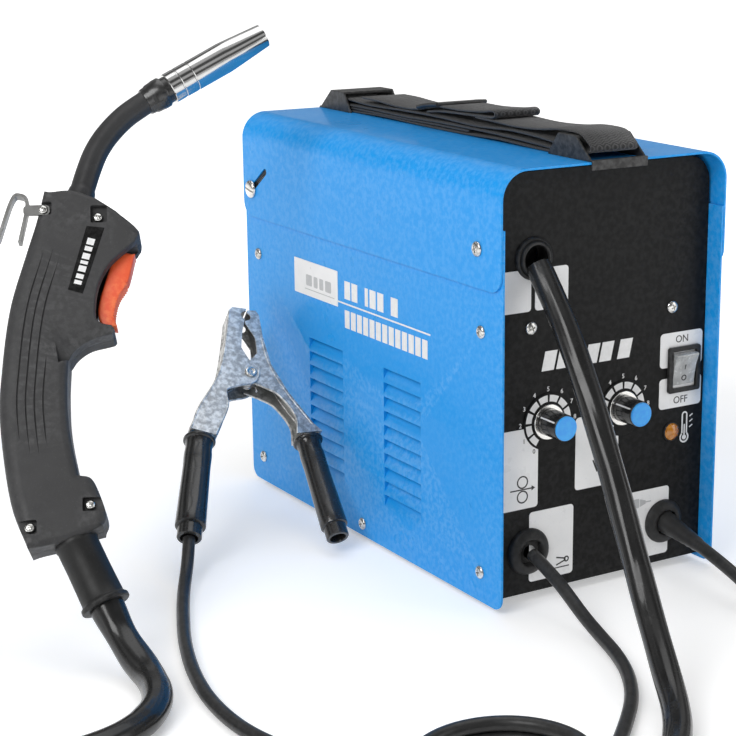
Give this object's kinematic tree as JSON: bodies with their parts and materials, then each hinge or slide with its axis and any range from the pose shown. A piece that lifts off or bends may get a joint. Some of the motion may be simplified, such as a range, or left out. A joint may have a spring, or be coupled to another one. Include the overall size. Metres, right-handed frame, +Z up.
{
  "type": "mig welder",
  "caption": "Portable wire-feed welding machine: sheet-metal case with hinged lid, carry strap, two dials and rocker switch, with torch, earth clamp, cables and mains plug.",
  "frame": {"origin": "on the floor, under the middle of the case, at the centre of the four rubber feet", "axes": "+X to the right of somebody facing the front panel, -Y out of the front panel, +Z up"},
  "size_m": [0.8315, 0.666, 0.3819],
  "materials": {
    "blue_paint": "glossy powder coat",
    "black_paint": "satin powder coat",
    "grey_sheet": "plain sheet",
    "bracket_steel": "satin black",
    "zinc_screws": "bright zinc",
    "latch_metal": "bright nickel",
    "black_rubber": "soft matt",
    "printed_plate": "printed film",
    "switch_black": "moulded",
    "switch_cover": "clear silicone cover over a white rocker",
    "amber_lens": "clear amber",
    "knob_plastic": "black with a blue cap",
    "circuit_board": "solder mask",
    "webbing": "woven polyester",
    "spool_plastic": "moulded",
    "feeder_plastic": "glass-filled nylon",
    "roll_steel": "ground",
    "core_iron": "laminated",
    "copper_winding": "enamelled copper",
    "fan_plastic": "moulded",
    "torch_plastic": "fine texture",
    "torch_screw": "black oxide",
    "trigger_red": "moulded",
    "hook_steel": "bent flat bar",
    "neck_rubber": "insulating sleeve",
    "collar_plastic": "moulded",
    "nozzle_chrome": "turned and plated",
    "tip_copper": "turned copper",
    "clamp_zinc": "zinc plated pressing",
    "clamp_grip": "soft sleeve",
    "spring_steel": "oiled wire",
    "hose_sleeve": "glossy wrinkled sleeve",
    "cable_rubber": "smooth jacket",
    "plug_plastic": "moulded"
  },
  "bodies": {
    "case": {"base_pan": "grey_sheet", "front_panel": "black_paint", "rear_panel": "black_paint", "left_side_panel": "blue_paint", "right_side_panel": "blue_paint", "lid_pivot_screws": "zinc_screws", "case_screws": "zinc_screws", "rubber_feet": "black_rubber", "panel_labels": "printed_plate", "torch_grommet": "black_rubber", "ground_gland": "black_rubber", "mains_gland": "black_rubber", "switch_housing": "switch_black", "lamp_lens": "amber_lens", "control_board": "circuit_board", "inner_shelf": "grey_sheet", "spool_holder": "grey_sheet", "feeder_body": "feeder_plastic", "feed_motor": "roll_steel", "transformer_core": "core_iron", "transformer_windings": "copper_winding", "fan_housing": "fan_plastic", "torch_handle_left": "torch_plastic", "torch_handle_right": "torch_plastic", "torch_handle_screws": "torch_screw", "torch_hook": "hook_steel", "torch_neck": "neck_rubber", "torch_neck_collar": "collar_plastic", "gas_nozzle": "nozzle_chrome", "contact_tip": "tip_copper", "torch_hose_boot": "black_rubber", "clamp_fixed_arm": "clamp_zinc", "clamp_fixed_grip": "clamp_grip", "clamp_rivet": "zinc_screws", "clamp_spring": "spring_steel", "torch_hose": "hose_sleeve", "torch_hose_coil": "hose_sleeve", "torch_hose_tail": "hose_sleeve", "ground_cable": "cable_rubber", "ground_cable_coil": "cable_rubber", "ground_cable_tail": "cable_rubber", "mains_cable": "cable_rubber", "mains_cable_coil": "cable_rubber", "mains_plug": "plug_plastic"},
    "lid": {"lid": "blue_paint", "strap_brackets": "bracket_steel", "carry_strap": "webbing"},
    "latch_left": {"latch_screw_left": "latch_metal"},
    "latch_right": {"latch_screw_right": "latch_metal"},
    "rocker": {"switch_rocker": "switch_cover"},
    "knob_left": {"knob_left": "knob_plastic"},
    "knob_right": {"knob_right": "knob_plastic"},
    "trigger": {"torch_trigger": "trigger_red"},
    "clamp_jaw": {"clamp_moving_arm": "clamp_zinc", "clamp_moving_grip": "clamp_grip"},
    "fan": {"fan_rotor": "fan_plastic"},
    "spool": {"wire_spool": "spool_plastic"},
    "drive_roll": {"drive_roll": "roll_steel"},
    "pressure_arm": {"pressure_arm": "feeder_plastic"},
    "pressure_roller": {"pressure_roller": "roll_steel"}
  },
  "joints": [
    {"name": "lid_hinge", "type": "hinge", "parent": "case", "child": "lid", "pos_m": [0, -0.1565, 0.2484], "axis": [1, 0, 0], "range_deg": [0, 60]},
    {"name": "latch_left_slide", "type": "slide", "parent": "lid", "child": "latch_left", "axis": [0, -0.8182, 0.5749], "range_m": [0, 0.028]},
    {"name": "latch_right_slide", "type": "slide", "parent": "lid", "child": "latch_right", "axis": [0, -0.8182, 0.5749], "range_m": [0, 0.028]},
    {"name": "power_rocker", "type": "hinge", "parent": "case", "child": "rocker", "pos_m": [0.07115, -0.16895, 0.14785], "axis": [-1, 0, 0], "range_deg": [0, 18]},
    {"name": "voltage_knob", "type": "hinge", "parent": "case", "child": "knob_left", "pos_m": [-0.0455, -0.16995, 0.127], "axis": [0, -1, 0], "range_deg": [-150, 90]},
    {"name": "feed_knob", "type": "hinge", "parent": "case", "child": "knob_right", "pos_m": [0.018, -0.16995, 0.127], "axis": [0, -1, 0], "range_deg": [-150, 90]},
    {"name": "trigger_pull", "type": "hinge", "parent": "case", "child": "trigger", "pos_m": [-0.27474, 0.00259, 0.23395], "axis": [0.3694, 0.738, -0.5648], "range_deg": [0, 3.5], "stiffness_Nm_per_rad": 0.6, "springref_deg": -5.73},
    {"name": "clamp_open", "type": "hinge", "parent": "case", "child": "clamp_jaw", "pos_m": [-0.138, 0.097, 0.11], "axis": [0.034, 0.6486, -0.7604], "range_deg": [0, 20], "stiffness_Nm_per_rad": 0.6, "springref_deg": -34.38},
    {"name": "fan_spin", "type": "hinge", "parent": "case", "child": "fan", "pos_m": [0, 0.15, 0.09], "axis": [0, 1, 0], "continuous": true},
    {"name": "spool_spin", "type": "hinge", "parent": "case", "child": "spool", "pos_m": [-0.058, 0.095, 0.236], "axis": [1, 0, 0], "continuous": true},
    {"name": "drive_roll_spin", "type": "hinge", "parent": "case", "child": "drive_roll", "pos_m": [-0.0585, -0.12, 0.2256], "axis": [1, 0, 0], "continuous": true},
    {"name": "pressure_arm_lift", "type": "hinge", "parent": "case", "child": "pressure_arm", "pos_m": [-0.052, -0.095, 0.256], "axis": [-1, 0, 0], "range_deg": [0, 32], "stiffness_Nm_per_rad": 0.5, "springref_deg": -17.19},
    {"name": "pressure_roller_spin", "type": "hinge", "parent": "pressure_arm", "child": "pressure_roller", "pos_m": [-0.0585, -0.12, 0.2525], "axis": [1, 0, 0], "continuous": true}
  ],
  "couplings": [
    {"joint": "pressure_roller_spin", "follows": "drive_roll_spin", "ratio": -1.3636}
  ]
}
